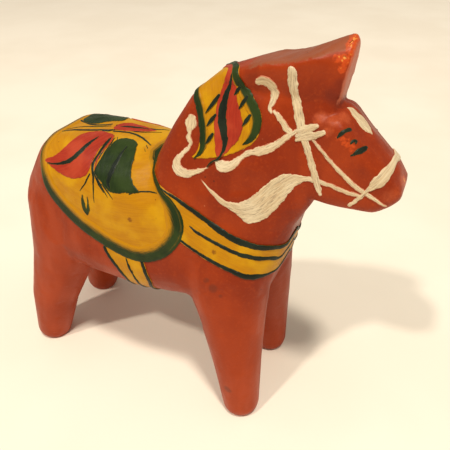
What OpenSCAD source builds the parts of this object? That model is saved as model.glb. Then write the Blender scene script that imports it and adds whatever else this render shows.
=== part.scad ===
// Dala horse: a small horse whittled from one pine block, primed, dipped red and
// decorated with brush strokes. Each coat and each colour of paint is its own thin
// solid. The horse looks along +X, its left side is +Y and it stands on z = 0.

/* [Size] */
// Height from the soles to the ear tip
height = 100; // [50:1:250]

/* [Legs] */
// Distance between the centres of the front and hind soles, on a 100 mm horse
leg_base = 68; // [65:0.5:70]
// Distance between the centres of the left and right soles, on a 100 mm horse
leg_track = 26; // [25:0.5:27.5]

/* [Paint] */
// Thickness of the primer, on a 100 mm horse
primer_t = 0.15; // [0.1:0.05:0.3]
// Thickness of the red coat, on a 100 mm horse
coat_t = 0.2; // [0.1:0.05:0.3]
// Thickness of one layer of brushed paint, on a 100 mm horse
stroke_t = 0.2; // [0.1:0.05:0.3]

/* [Hidden] */

// Tables below are in millimetres on a horse 100 mm high
drawn_h = 100;
front_x = 22.5;
hind_x = front_x - leg_base;
foot_y = leg_track / 2;
// Heights of the paint layers above the bare wood
on_primer = primer_t;
on_coat = on_primer + coat_t;
on_ground = on_coat + stroke_t;
on_leaf = on_ground + stroke_t;
top_layer = on_leaf + stroke_t;
// The coats stop this far above the table
coat_edge = 0.3;
// Long enough to pass through the horse in any direction
reach = 200;
// How far outside the bare wood a surface lies
$grow = 0;

// ---- The carved body: rows of balls [x, y, z, radius], skinned from row to row ----

trunk = [
    [[-35.4, 3.8, 55.4, 9.2], [-34.8, 4.5, 45, 9]],
    [[-31, 3.8, 59, 11.4], [-31, 6, 45, 10.5]],
    [[-20, 3.5, 59.8, 12], [-20, 6.5, 44.5, 11]],
    [[-6, 3.5, 59.4, 12], [-6, 6.5, 44.5, 11]],
    [[6, 4, 56, 11.5], [8, 6.5, 46, 10.5]],
    [[16, 4, 50, 9.5], [17, 5.5, 46, 9]],
];
neck = [
    [[2, 6.6, 46, 10.5], [18.5, 5.5, 46, 8.5]],
    [[3, 6.5, 55, 9.5], [22, 5, 54, 7.2]],
    [[4.3, 6.2, 63, 7.8], [26, 4.8, 62.5, 5]],
    [[4.8, 6.2, 70, 5.8], [30, 4.5, 68.7, 3.8]],
    [[4.5, 5.8, 76.8, 3.6], [32.5, 4, 76, 3.3]],
    [[7.6, 5, 84, 2.4], [34.5, 3.3, 84, 2]],
    [[12.8, 4.3, 89.1, 1.7], [35.6, 2.8, 88.5, 1.3]],
    [[18.8, 4.1, 92.4, 1.4], [36, 3, 92, 1.2]],
    [[27.6, 3.9, 94.6, 1.3], [36.5, 3.4, 94.5, 1.2]],
    [[32.4, 3.9, 96.6, 1.2], [36.8, 3.5, 96, 1.2]],
    [[37, 3.4, 98.4, 1.2]],
];
head = [
    [[29.5, 3.8, 82.5, 2.5], [29.5, 0, 83.5, 2.2], [30, 4.2, 72, 2.5]],
    [[36, 5, 83.6, 2.2], [36.4, 0, 85, 2.2], [35, 5, 70.8, 2.2]],
    [[41, 5.2, 80.9, 2.2], [41.6, 0, 81.4, 2.2], [40, 4.8, 70.3, 2.2]],
    [[48.4, 4.4, 74.5, 2.2], [48.8, 0, 75, 2.2], [46.5, 4, 70.4, 2.4]],
    [[49.2, 3.6, 72.5, 2], [47.5, 3.2, 70.6, 2.2]],
];
fore_leg = [
    [[9, 7, 57, 8], [19, 5.5, 57, 7]],
    [[13, 8.5, 46, 8.6], [19.5, 7.5, 46, 8]],
    [[16.5, 9.8, 35, 7.6], [20, 9.5, 35, 7]],
    [[20.3, foot_y - 1.2, 18, 6.2], [21.2, foot_y - 1.3, 18, 6]],
    [[front_x, foot_y, 3.4, 5.2]],
];
hind_leg = [
    [[-34, 6, 56, 8.5], [-27, 6.5, 56, 8.5]],
    [[-34.8, 8, 45, 9], [-29.5, 8.5, 44, 8.5]],
    [[-37.2, 9.7, 34, 7.8], [-34.5, 9.8, 33.5, 7.4]],
    [[-41.4, foot_y - 1.3, 18, 6.4], [-41, foot_y - 1.5, 18, 6.2]],
    [[hind_x + 0.6, foot_y, 3.4, 5.3]],
];

module ball(b) translate([b.x, b.y, b.z]) sphere(r = b[3] + $grow, $fn = 12);

module row_of_balls(row, both_sides)
    for (b = row) {
        ball(b);
        if (both_sides && b.y > 0) ball([b.x, -b.y, b.z, b[3]]);
    }

module skin(rows, both_sides = true)
    for (i = [1 : len(rows) - 1])
        hull() {
            row_of_balls(rows[i - 1], both_sides);
            row_of_balls(rows[i], both_sides);
        }

module both_sides() {
    children();
    mirror([0, 1, 0]) children();
}

// The horse's shape, $grow outside the bare wood, above the height z0
module carving(z0 = 0)
    intersection() {
        union() {
            skin(trunk);
            skin(neck);
            skin(head);
            both_sides() {
                skin(fore_leg, false);
                skin(hind_leg, false);
            }
        }
        translate([-reach / 2, -reach / 2, z0]) cube(reach);
    }

// A layer of paint between two heights above the wood
module layer(from, to, z0 = coat_edge)
    difference() {
        carving(z0, $grow = to);
        carving(z0, $grow = from);
    }

// ---- Brushwork: flat shapes in side view, [x, z], laid onto the carving ----

// A smooth curve through points of any size, n steps from point to point
function knot(p, i, closed) = closed ? p[(i + len(p)) % len(p)] : p[max(0, min(len(p) - 1, i))];
function bend(a, b, c, d, t) =
    (2 * b + (c - a) * t + (2 * a - 5 * b + 4 * c - d) * t * t + (3 * b - a - 3 * c + d) * t * t * t) / 2;
function smooth(p, closed = true, n = 3) = [
    for (i = [0 : len(p) - (closed ? 1 : 2)])
        for (k = [0 : n - 1])
            bend(knot(p, i - 1, closed), knot(p, i, closed), knot(p, i + 1, closed), knot(p, i + 2, closed), k / n),
    if (!closed) p[len(p) - 1]
];

module patch(points) polygon(smooth(points));

// A brush stroke along points [x, z, half width]
module stroke(points, n = 2) {
    line = smooth(points, false, n);
    for (i = [1 : len(line) - 1])
        hull()
            for (p = [line[i - 1], line[i]])
                translate([p.x, p.y]) circle(r = p.z, $fn = 8);
}

// Pushes a flat side-view shape through the whole horse, from left to right
module across() rotate([90, 0, 0]) linear_extrude(reach, center = true) children();
// The same, but only onto the right side, y < 0
module right_side() rotate([90, 0, 0]) linear_extrude(reach / 2) children();
// The same, but down a 45 degree slope on the right side. The shape's second axis runs
// down the slope from the ridge line at height ridge_z, and it reaches `depth` below it
module down_slope(ridge_z, depth)
    translate([0, 0, ridge_z]) rotate([-135, 0, 0]) translate([0, 0, -reach / 4])
        linear_extrude(reach / 4 + depth) children();
// The saddle pattern repeats when the horse is turned half round about its rosette
rosette_x = -19;
back_z = 71.7;
brow_z = 86;
module on_back() {
    down_slope(back_z, 6) children();
    translate([rosette_x, 0, 0]) rotate(180) translate([-rosette_x, 0, 0]) down_slope(back_z, 6) children();
}
module brush(from, to)
    intersection() {
        layer(from, to);
        union() children();
    }
// Paint on the saddle's yellow ground, inside its border, drawn on the slope of the back
module brush_saddle(from, to)
    brush(from, to)
        intersection() {
            across() saddle_field();
            on_back() children();
        }
// One stroke on each side of the horse
module brush_sides(from, to) both_sides() brush(from, to) right_side() children();

// ---- Outlines in side view, [x, z], and strokes, [x, z, half width] ----

module saddle_area()
    patch([[-35, 82], [-34, 71], [-31.5, 63.5], [-26.5, 56.5], [-19, 51.3], [-10, 48.5], [-2, 48.6],
        [4.5, 51.8], [8, 57.5], [7.2, 62.8], [2.6, 66.9], [-2.4, 70], [-5.5, 76], [-8, 84]]);
module saddle_field() offset(delta = -1.9) saddle_area();
module strap_area() {
    top = smooth([[2, 67.6], [9.3, 65], [16, 61], [22, 58], [27, 55.6], [34, 54]], false);
    bottom = smooth([[34, 47], [27, 47.6], [22, 49.7], [15, 52.8], [7, 56]], false);
    difference() {
        polygon(concat(top, bottom));
        saddle_area();
    }
}
module girth_area()
    difference() {
        polygon([[-12.4, 49.5], [-10.4, 44.5], [-9.1, 41], [-8.8, 36], [-8.8, 25],
            [-0.4, 25], [-0.4, 37], [-1, 42], [-2.2, 49.5]]);
        saddle_area();
    }
module panel_area()
    patch([[8.4, 92], [9.2, 87.5], [10.8, 82.5], [11.7, 78.5], [10.2, 74.8], [14, 75.2], [18.2, 76.4],
        [22.2, 79], [23.6, 83], [21.6, 87.2], [19, 90.2], [17.6, 94], [15, 97]]);
module mane_leaf_area()
    patch([[17.3, 92.6], [15, 91.4], [13.8, 87.5], [13.4, 83.5], [13.8, 79.5], [14.6, 75.9],
        [17.6, 77.7], [19.5, 81], [18.9, 85.2], [17.6, 89.5]]);
module red_leaf_area()
    patch([[-31.4, 12.7], [-27.6, 8.7], [-24.5, 4.6], [-20.8, 2.4], [-17.4, 3], [-17, 8],
        [-17.2, 13], [-19.5, 15], [-24, 15.4], [-28, 14.3]]);
module green_leaf_area()
    patch([[-14.2, 2.6], [-9.6, 3.5], [-7.2, 7.4], [-5.3, 11.2], [-3.2, 14], [-9.7, 15.6],
        [-13.2, 14.4], [-15.6, 11.2], [-15.4, 6.6]]);
module crown_stroke()
    stroke([[28.4, 92.8, 0.7], [28.9, 89, 0.8], [30.4, 85.6, 0.8], [32.4, 82.6, 0.9],
        [33.8, 78.8, 0.8], [35.5, 74.5, 0.7], [36.5, 71.4, 0.5]]);
module cross_strokes() {
    stroke([[30.2, 83, 0.5], [32.4, 83.4, 0.8], [34.4, 84.5, 0.5]]);
    stroke([[30.7, 81.5, 0.5], [33, 82.2, 0.8], [35.7, 83.5, 0.5]]);
}
module cheek_stroke() stroke([[33.8, 82.2, 0.5], [40.2, 77.7, 0.7], [45.4, 73.6, 0.6], [49, 70.9, 0.5]]);
module rein_stroke() stroke([[35, 74.4, 0.6], [39.4, 73.5, 0.6], [44.1, 72.5, 0.5]]);
module nose_stroke() stroke([[42.8, 69.4, 0.8], [45.8, 73.3, 1.1], [48, 76.8, 1], [50, 80, 1]]);

// ---- Sub-parts ----

module wood_core() color("burlywood") carving();

module primer() color("navajowhite") layer(0, on_primer);

// The red coat is worn off the ear's tip and down its front edge
module red_coat()
    color("orangered")
        difference() {
            layer(on_primer, on_coat);
            both_sides() {
                translate([38, -3.4, 99]) sphere(r = 1.8, $fn = 12);
                translate([37.6, -4.2, 94]) scale([1, 1, 2.4]) sphere(r = 0.9, $fn = 12);
            }
        }

module saddle_ground() color("gold") brush(on_coat, on_ground) across() saddle_area();

module saddle_border()
    color("darkgreen")
        brush(on_ground, on_leaf)
            across()
                difference() {
                    saddle_area();
                    saddle_field();
                }

module saddle_red_leaves() color("crimson") brush_saddle(on_ground, on_leaf) red_leaf_area();

module saddle_green_leaves() color("green") brush_saddle(on_ground, on_leaf) green_leaf_area();

module saddle_leaf_veins()
    color("black")
        brush_saddle(on_leaf, top_layer) {
            stroke([[-28.3, 13.3, 0.2], [-23.8, 12.2, 0.5], [-21.2, 9.2, 0.4], [-19.3, 4.2, 0.2]]);
            stroke([[-11, 5.6, 0.2], [-11.6, 9.4, 0.6], [-10.6, 13.8, 0.2]]);
        }

module saddle_fine_lines()
    color("black")
        brush_saddle(on_ground, on_leaf)
            difference() {
                union() {
                    stroke([[-17.5, 0.9, 0.3], [-12, 1.9, 0.2], [-6.5, 3, 0.15]]);
                    stroke([[-20.5, 1, 0.3], [-25, 2.6, 0.2], [-31, 5, 0.15]]);
                    stroke([[-15.9, 12.5, 0.25], [-14.7, 19.5, 0.15]]);
                    stroke([[-17, 15, 0.25], [-19, 17.6, 0.15]]);
                    stroke([[-9, 16.4, 0.25], [-3.5, 15.2, 0.2], [1.5, 13.2, 0.15]]);
                }
                offset(delta = 0.3) red_leaf_area();
                offset(delta = 0.3) green_leaf_area();
            }

module saddle_rosette()
    color("black")
        brush(on_ground, on_leaf)
            translate([rosette_x, 0, back_z - 2]) cylinder(r = 0.9, h = 6, $fn = 10);

module saddle_drops()
    color("darkgreen")
        brush(on_ground, on_leaf)
            both_sides()
                right_side()
                    translate([-17.8, 58.5])
                        difference() {
                            scale([0.45, 1]) circle(r = 2, $fn = 12);
                            scale([0.25, 0.8]) circle(r = 2, $fn = 12);
                        }

module breast_strap() color("gold") brush(on_coat, on_ground) across() strap_area();

module breast_strap_lines()
    color("black")
        brush(on_ground, on_leaf)
            across()
                intersection() {
                    strap_area();
                    union() {
                        stroke([[2, 67.2, 0.2], [9.3, 64.6, 0.5], [16, 60.6, 0.5], [22, 57.6, 0.5], [27, 55.2, 0.5],
                            [34, 53.6, 0.4]]);
                        stroke([[10.3, 59.3, 0.2], [16.7, 56.2, 0.4], [21.3, 54.3, 0.4], [26, 52.2, 0.4], [34, 50.6, 0.4]]);
                        stroke([[8, 56.1, 0.4], [15, 53.3, 0.5], [22, 50.2, 0.5], [27, 48.1, 0.5], [34, 47.5, 0.4]]);
                    }
                }

module girth_band() color("gold") brush(on_coat, on_ground) across() girth_area();

module girth_lines()
    color("black")
        brush(on_ground, on_leaf)
            across()
                intersection() {
                    girth_area();
                    union() {
                        stroke([[-12.2, 49, 0.4], [-10, 44.2, 0.4], [-8.6, 40.6, 0.4], [-8.3, 36, 0.4], [-8.3, 26, 0.4]]);
                        stroke([[-5.9, 46.4, 0.2], [-5.1, 41.5, 0.3], [-4.5, 36.5, 0.4], [-4.5, 26, 0.4]]);
                        stroke([[-2.4, 49, 0.4], [-1.5, 42, 0.4], [-0.9, 37, 0.4], [-0.9, 26, 0.4]]);
                    }
                }

module mane_panel() color("gold") brush(on_coat, on_ground) across() panel_area();

module mane_panel_border()
    color("darkgreen")
        brush_sides(on_ground, on_leaf)
            intersection() {
                panel_area();
                union() {
                    stroke([[9.4, 87.6, 0.4], [10.9, 82.5, 0.6], [11.8, 78.6, 0.7], [10.3, 75, 0.5], [14, 75.4, 0.3]]);
                    stroke([[17.6, 92.6, 0.5], [19.2, 90, 0.6], [21.7, 87, 0.9], [23.4, 83, 1.1], [22, 79.2, 0.9],
                        [18.2, 76.8, 0.4]]);
                }
            }

module mane_leaves()
    color("crimson")
        brush_sides(on_ground, on_leaf)
            difference() {
                mane_leaf_area();
                stroke([[10.3, 75, 0.6], [14, 75.4, 0.5], [18.2, 76.8, 0.5]]);
            }

module mane_leaf_strokes()
    color("black")
        brush_sides(on_leaf, top_layer)
            stroke([[16.6, 91, 0.2], [15.6, 88.2, 0.5], [14.9, 85, 0.9], [14.9, 82.4, 0.9], [15.8, 79.8, 0.5],
                [16.2, 78, 0.3]]);

module mane_hatching()
    color("black")
        brush_sides(on_ground, on_leaf)
            difference() {
                for (mark = [[[13.3, 87], [11.6, 83.9]], [[12.9, 83.4], [12.1, 81.6]], [[13.1, 79.8], [12.6, 77.6]],
                    [[19, 87.8], [18.7, 86.2]], [[20.4, 84.6], [19.6, 82.4]]])
                    stroke([[mark[0].x, mark[0].y, 0.3], [mark[1].x, mark[1].y, 0.15]]);
                offset(delta = 0.2) mane_leaf_area();
            }

module rear_scrolls()
    color("ivory")
        brush_sides(on_coat, on_ground)
            difference() {
                stroke([[8.3, 82.2, 1.3], [7.7, 79.6, 0.6], [8.4, 77.6, 0.8], [7.1, 75.7, 0.5], [5.4, 74, 0.8], [6, 71.9, 1],
                    [8.1, 71.1, 1], [10.4, 71.8, 1], [12.8, 72.4, 0.5]]);
                panel_area();
            }

module front_scrolls()
    color("ivory")
        brush_sides(on_coat, on_ground)
            difference() {
                union() {
                    stroke([[14.2, 74, 0.8], [17.3, 73.7, 1.3], [19.2, 75, 0.8], [20.6, 76.7, 0.7], [22.5, 77.6, 0.8],
                        [25.2, 78.5, 0.7], [27.4, 80.1, 0.7], [29.2, 82, 0.6]]);
                    stroke([[22, 91.3, 1.1], [23.8, 91.4, 1], [24.9, 90.2, 0.8], [24.8, 88.2, 0.7], [24.6, 86.1, 0.9],
                        [25.7, 85.3, 0.7], [27.7, 84, 0.7], [28.8, 82.8, 0.5]]);
                }
                panel_area();
                crown_stroke();
                cross_strokes();
            }

module neck_plumes()
    color("ivory")
        brush_sides(on_coat, on_ground)
            difference() {
                patch([[11.4, 69.9], [14, 68], [17.6, 66.8], [20.4, 67], [23.3, 69.2], [26.2, 72], [29.1, 74.3], [32.2, 75],
                    [35.4, 75], [35.4, 73.8], [33, 73], [30.6, 69.4], [28.2, 65.2], [25.2, 62.4], [21.6, 62.4],
                    [17.4, 64.4], [14, 67.2]]);
                crown_stroke();
                rein_stroke();
            }

module crown_straps()
    color("ivory")
        brush_sides(on_coat, on_ground)
            difference() {
                crown_stroke();
                cross_strokes();
            }

module bridle_crosses() color("ivory") brush_sides(on_coat, on_ground) cross_strokes();

module cheek_straps()
    color("ivory")
        brush_sides(on_coat, on_ground)
            difference() {
                cheek_stroke();
                crown_stroke();
                cross_strokes();
                nose_stroke();
            }

module reins()
    color("ivory")
        brush_sides(on_coat, on_ground)
            difference() {
                rein_stroke();
                crown_stroke();
                cheek_stroke();
                nose_stroke();
            }

module noseband() color("ivory") brush(on_coat, on_ground) across() nose_stroke();

module forehead_star()
    color("ivory")
        brush(on_coat, on_ground)
            translate([0, 0, brow_z - 8])
                linear_extrude(12) stroke([[38.2, 0, 0.3], [40, 0, 1], [41.8, 0, 1], [43.6, 0, 0.3]]);

module eye_marks()
    color("black")
        both_sides()
            brush(on_coat, on_ground)
                down_slope(brow_z, 3)
                    for (mark = [[38.4, 6.8, 39.8, 3.8], [40.8, 7.2, 41.6, 5.2], [41.9, 8.8, 43.4, 6]])
                        stroke([[mark[0], mark[1], 0.35], [mark[2], mark[3], 0.5]]);

// The tables put x = 0 about the middle of the belly: this centres the horse on its ends
rear_end = hind_x - 4.7;
front_end = 51.2;
module sized()
    scale(height / drawn_h)
        translate([-(rear_end + front_end) / 2, 0, 0])
            children();

sized() wood_core();
sized() primer();
sized() red_coat();
sized() saddle_ground();
sized() saddle_border();
sized() saddle_red_leaves();
sized() saddle_green_leaves();
sized() saddle_leaf_veins();
sized() saddle_fine_lines();
sized() saddle_rosette();
sized() saddle_drops();
sized() breast_strap();
sized() breast_strap_lines();
sized() girth_band();
sized() girth_lines();
sized() mane_panel();
sized() mane_panel_border();
sized() mane_leaves();
sized() mane_leaf_strokes();
sized() mane_hatching();
sized() rear_scrolls();
sized() front_scrolls();
sized() neck_plumes();
sized() crown_straps();
sized() bridle_crosses();
sized() cheek_straps();
sized() reins();
sized() noseband();
sized() forehead_star();
sized() eye_marks();
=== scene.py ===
"""Dala horse: the looks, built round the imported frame.

Shapes are worked out in millimetres and turned into metres when an object is made. The horse
looks along +X, its left side is +Y and it stands on z = 0.
"""
import math
import bmesh
import bpy
import numpy as np
from mathutils import Matrix, Vector, kdtree


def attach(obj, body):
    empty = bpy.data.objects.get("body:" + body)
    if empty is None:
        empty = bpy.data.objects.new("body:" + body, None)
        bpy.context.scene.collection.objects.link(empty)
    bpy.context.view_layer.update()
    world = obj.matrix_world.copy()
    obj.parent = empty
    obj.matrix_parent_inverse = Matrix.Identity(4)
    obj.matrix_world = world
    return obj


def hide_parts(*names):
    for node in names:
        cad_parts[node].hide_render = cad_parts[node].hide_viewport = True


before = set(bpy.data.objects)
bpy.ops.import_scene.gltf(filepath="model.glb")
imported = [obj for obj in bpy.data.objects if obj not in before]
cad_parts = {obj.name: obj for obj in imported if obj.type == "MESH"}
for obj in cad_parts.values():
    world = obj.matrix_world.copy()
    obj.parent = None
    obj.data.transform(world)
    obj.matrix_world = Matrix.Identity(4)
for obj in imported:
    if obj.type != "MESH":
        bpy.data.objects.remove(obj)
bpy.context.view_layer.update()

MM = 0.001
VOXEL = 0.48

# ---- camera

CAMERA_PLACE = (55, -89.2, 122.1)
CAMERA_TURN, CAMERA_TILT, CAMERA_ROLL = 25.98, 35.42, 0.51  # degrees: to the left, down, clockwise
CAMERA_LENS = 38.58  # on a sensor 36 wide


def add_camera():
    azimuth, tilt, roll = (math.radians(a) for a in (CAMERA_TURN, CAMERA_TILT, CAMERA_ROLL))
    ahead = Vector((-math.sin(azimuth) * math.cos(tilt), math.cos(azimuth) * math.cos(tilt), -math.sin(tilt)))
    right = Vector((math.cos(azimuth), math.sin(azimuth), 0))
    down = ahead.cross(right)
    x_axis = right * math.cos(roll) + down * math.sin(roll)
    y_axis = right * math.sin(roll) - down * math.cos(roll)
    camera = bpy.data.objects.new("camera", bpy.data.cameras.new("camera"))
    camera.matrix_world = Matrix((x_axis, y_axis, -ahead)).transposed().to_4x4()
    camera.location = Vector(CAMERA_PLACE) * MM
    camera.data.sensor_width = 36
    camera.data.lens = CAMERA_LENS
    camera.data.clip_start = 5 * MM
    bpy.context.scene.collection.objects.link(camera)
    bpy.context.scene.camera = camera


add_camera()

# ---- the carved wood
# Rows of balls [x, y, z, radius], much as in the CAD model, with a hull from row to row.
# CAD_SHIFT is how far the CAD model moves the tables to centre the horse on its ends.

CAD_SHIFT = -0.5
TRUNK = [
    [[-33.8, 5.4, 54, 9.2], [-34.8, 4.5, 45, 9]],
    [[-28.8, 4.5, 60.8, 10], [-31, 6, 45, 10.5]],
    [[-20, 3.5, 59.6, 12], [-20, 6.5, 44.5, 11]],
    [[-6, 3.5, 59, 12], [-6, 6.5, 44.5, 11]],
    [[6, 4, 56, 11.5], [8, 6.5, 46, 10.5]],
    [[16, 4, 50, 9.5], [17, 5.5, 46, 9]],
]
NECK = [
    [[2, 6.6, 46, 10.5], [19.3, 5.5, 46, 8.3]],
    [[3, 6.5, 55, 9.5], [22.4, 4.7, 54, 7]],
    [[4.3, 6.2, 63, 7.8], [26.5, 4.6, 62.5, 4.9]],
    [[4.9, 6.1, 70, 5.8], [31, 4.5, 68.7, 3.8]],
    [[5.9, 5.6, 76.8, 3.6], [32.8, 4, 76, 3.3]],
    [[9.2, 4.2, 84.4, 2.4], [34.5, 3.3, 84, 2]],
    [[13.6, 2.6, 89.4, 1.6], [35.8, 3, 88.5, 1]],
    [[18.8, 4, 92.4, 0.5], [18.8, 0, 93, 0.5], [23.2, 4.8, 94.1, 0.4], [36.8, 3.5, 91, 0.5]],
    [[27.6, 4.7, 94.7, 0.4], [27.6, 0, 95.2, 0.4], [37.2, 3.5, 93.5, 0.4]],
    [[32.4, 4.2, 96.3, 0.4], [32.2, 0, 97.2, 0.4], [37.6, 3.3, 95.8, 0.4]],
    [[37.8, 2.3, 97.8, 0.4], [37.9, 0, 99.7, 0.4]],
]
HEAD = [
    [[31, 2.8, 84.6, 2.2], [31.5, 0, 86, 2.2], [30.5, 4.2, 72.4, 2.5]],
    [[37.5, 4.5, 84.4, 2], [37.8, 0, 85.4, 2.2], [35, 5, 71.2, 2.2]],
    [[41, 4.7, 80.6, 2], [41.8, 0, 81.2, 2.2], [40, 4.8, 70.8, 2.2]],
    [[47.4, 3.9, 74.6, 2.3], [47.9, 0, 75.1, 2.3], [46.3, 4, 70.9, 2.4]],
    [[49.2, 3.4, 72.6, 2.1], [47.5, 3.2, 71.1, 2.2]],
]
FORE_LEG = [
    [[9, 7, 57, 8], [19, 5.5, 57, 7]],
    [[13.3, 8.5, 46, 8.3], [19.3, 7.5, 46, 7.8]],
    [[17, 9.8, 35, 7.2], [20.1, 9.5, 35, 6.8]],
    [[20.7, 11.7, 18, 5.8], [21.3, 11.7, 18, 5.8]],
    [[22.7, 12.7, 3.4, 4.7]],
]
# The left fore leg is carved a little thinner below the knee.
FORE_LEG_LEFT = FORE_LEG[:3] + [
    [[20.2, 11.7, 18, 5.6], [20.7, 11.7, 18, 5.6]],
    [[21.7, 12.6, 3.4, 4.5]],
]
HIND_LEG = [
    [[-34, 6.8, 52, 8.9], [-27, 6.5, 56, 8.5]],
    [[-34, 8.2, 46, 8.6], [-29.5, 8.5, 44, 8.5]],
    [[-36.6, 9.7, 34, 7.5], [-34.5, 9.8, 33.5, 7.4]],
    [[-41.4, 11.7, 18, 6.4], [-41, 11.5, 18, 6.2]],
    [[-44.8, 12.8, 3.4, 5]],
]


def ball_points(ball):
    """Points all over a ball, denser than the hull needs."""
    x, y, z, r = ball
    rings, spokes = 14, 24
    points = []
    for i in range(rings + 1):
        polar = math.pi * i / rings
        for k in range(spokes):
            turn = 2 * math.pi * k / spokes
            points.append((x + r * math.sin(polar) * math.cos(turn),
                           y + r * math.sin(polar) * math.sin(turn),
                           z + r * math.cos(polar)))
    return points


def add_hull(bm, balls):
    verts = [bm.verts.new(p) for b in balls for p in ball_points(b)]
    hull = bmesh.ops.convex_hull(bm, input=verts)
    spare = {v for v in hull["geom_interior"] + hull["geom_unused"] if isinstance(v, bmesh.types.BMVert)}
    bmesh.ops.delete(bm, geom=list(spare), context="VERTS")


def both_sides(balls, sides=(1, -1)):
    return [[b[0], s * b[1], b[2], b[3]] for b in balls for s in sides]


def rough_body():
    """All the hulls in one mesh, overlapping."""
    bm = bmesh.new()
    for table in (TRUNK, NECK, HEAD):
        for row, following in zip(table, table[1:]):
            add_hull(bm, both_sides(row + following))
    for table, side in ((FORE_LEG, -1), (FORE_LEG_LEFT, 1), (HIND_LEG, -1), (HIND_LEG, 1)):
        for row, following in zip(table, table[1:]):
            add_hull(bm, both_sides(row + following, (side,)))
    mesh = bpy.data.meshes.new("rough_body")
    bm.to_mesh(mesh)
    bm.free()
    return mesh


def with_modifier(mesh, kind, **settings):
    """The mesh after one modifier, as a new mesh."""
    holder = bpy.data.objects.new("holder", mesh)
    bpy.context.scene.collection.objects.link(holder)
    modifier = holder.modifiers.new(kind, kind)
    for name, value in settings.items():
        setattr(modifier, name, value)
    done = bpy.data.meshes.new_from_object(holder.evaluated_get(bpy.context.evaluated_depsgraph_get()))
    bpy.data.objects.remove(holder)
    return done


def mesh_arrays(mesh):
    verts = np.empty(len(mesh.vertices) * 3)
    mesh.vertices.foreach_get("co", verts)
    mesh.calc_loop_triangles()
    tris = np.empty(len(mesh.loop_triangles) * 3, np.int64)
    mesh.loop_triangles.foreach_get("vertices", tris)
    return verts.reshape(-1, 3), tris.reshape(-1, 3)


class Surface:
    """A closed triangle mesh, in millimetres, that can be smoothed, carved and painted on."""

    def __init__(self, verts, tris):
        self.verts, self.tris = verts, tris
        pairs = np.sort(np.vstack([tris[:, [0, 1]], tris[:, [1, 2]], tris[:, [2, 0]]]), axis=1)
        self.edges = np.unique(pairs, axis=0)
        self.valence = np.bincount(self.edges.ravel(), minlength=len(verts))

    def neighbour_mean(self, values):
        a, b = self.edges.T
        columns = [np.bincount(a, c[b], len(c)) + np.bincount(b, c[a], len(c)) for c in values.T]
        return np.stack(columns, 1) / self.valence[:, None]

    def relax(self, passes, weight=1.0, push=0.6, pull=-0.63):
        """Taubin smoothing: rounds what is small and keeps the size of the whole."""
        for _ in range(passes):
            for amount in (push, pull):
                self.verts += amount * weight * (self.neighbour_mean(self.verts) - self.verts)

    def normals(self):
        corners = self.verts[self.tris]
        face = np.cross(corners[:, 1] - corners[:, 0], corners[:, 2] - corners[:, 0])
        total = np.zeros_like(self.verts)
        for k in range(3):
            for axis in range(3):
                total[:, axis] += np.bincount(self.tris[:, k], face[:, axis], len(total))
        return total / np.linalg.norm(total, axis=1)[:, None].clip(1e-12)

    def ready(self):
        """Notes the normals once the shape is done."""
        self.normal = self.normals()


def whittle(surface, spacing=5.4, depth=0.07, rounds=30, seed=5):
    """Flattens patches of the surface a little, as knife cuts leave it.

    Each patch is a plane through its middle, square to the normals averaged in rounds over their neighbours.
    """
    rng = np.random.default_rng(seed)
    normals = surface.normals()
    for _ in range(rounds):
        normals = surface.neighbour_mean(normals)
    normals /= np.linalg.norm(normals, axis=1)[:, None]
    order = rng.permutation(len(surface.verts))
    chosen = []
    taken = np.zeros(len(surface.verts), bool)
    for i in order:
        if not taken[i]:
            chosen.append(i)
            taken |= ((surface.verts - surface.verts[i]) ** 2).sum(1) < spacing ** 2
    seeds = kdtree.KDTree(len(chosen))
    for k, i in enumerate(chosen):
        seeds.insert(surface.verts[i], k)
    seeds.balance()
    shift = np.zeros(len(surface.verts))
    for i, v in enumerate(surface.verts):
        _, k, _ = seeds.find(v)
        centre = chosen[k]
        shift[i] = (surface.verts[centre] - v) @ normals[centre]
    shift = np.clip(shift, -depth, depth)
    surface.verts += shift[:, None] * normals


def passes_here(count):
    """The passes that smooth as far at this voxel as count passes do at one of 0.4."""
    return round(count * (0.4 / VOXEL) ** 2)


CREST_BOTTOM, CREST_TOP = 84, 90  # between them the smoothing fades, so the crest and ear keep their edges


def carve():
    rough = rough_body()
    for v in rough.vertices:
        v.co.x += CAD_SHIFT
    body = Surface(*mesh_arrays(with_modifier(rough, "REMESH", mode="VOXEL", voxel_size=VOXEL)))
    high_up = np.clip((body.verts[:, 2] - CREST_BOTTOM) / (CREST_TOP - CREST_BOTTOM), 0, 1)
    body.relax(passes_here(70), (1.0 - 0.92 * high_up)[:, None])
    whittle(body)
    body.relax(passes_here(8))
    body.verts[:, 2] = body.verts[:, 2].clip(0)
    body.ready()
    return body


wood = carve()

# ---- curves and brush strokes


def smooth(points, closed=True, steps=8):
    """A smooth curve through points of any size."""
    p = np.asarray(points, float)
    curve = []
    for i in range(len(p) if closed else len(p) - 1):
        ids = [(i + k) % len(p) if closed else min(max(i + k, 0), len(p) - 1) for k in (-1, 0, 1, 2)]
        a, b, c, d = p[ids]
        for k in range(steps):
            t = k / steps
            bend = (2 * a - 5 * b + 4 * c - d) * t * t + (3 * b - a - 3 * c + d) * t ** 3
            curve.append((2 * b + (c - a) * t + bend) / 2)
    if not closed:
        curve.append(p[-1])
    return np.array(curve)


def wobble(t, seed, octaves=3):
    """A smooth irregular curve between about -1 and 1."""
    rng = np.random.default_rng(seed)
    total = 0
    for k in range(octaves):
        total = total + np.sin(t * 2 ** k * rng.uniform(0.8, 1.2) + rng.uniform(0, 6.3)) / 1.6 ** k
    return total / 2


def step(x, start, end):
    """Rises smoothly from 0 to 1 as x goes from start to end."""
    t = np.clip((x - start) / (end - start), 0, 1)
    return t * t * (3 - 2 * t)


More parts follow.
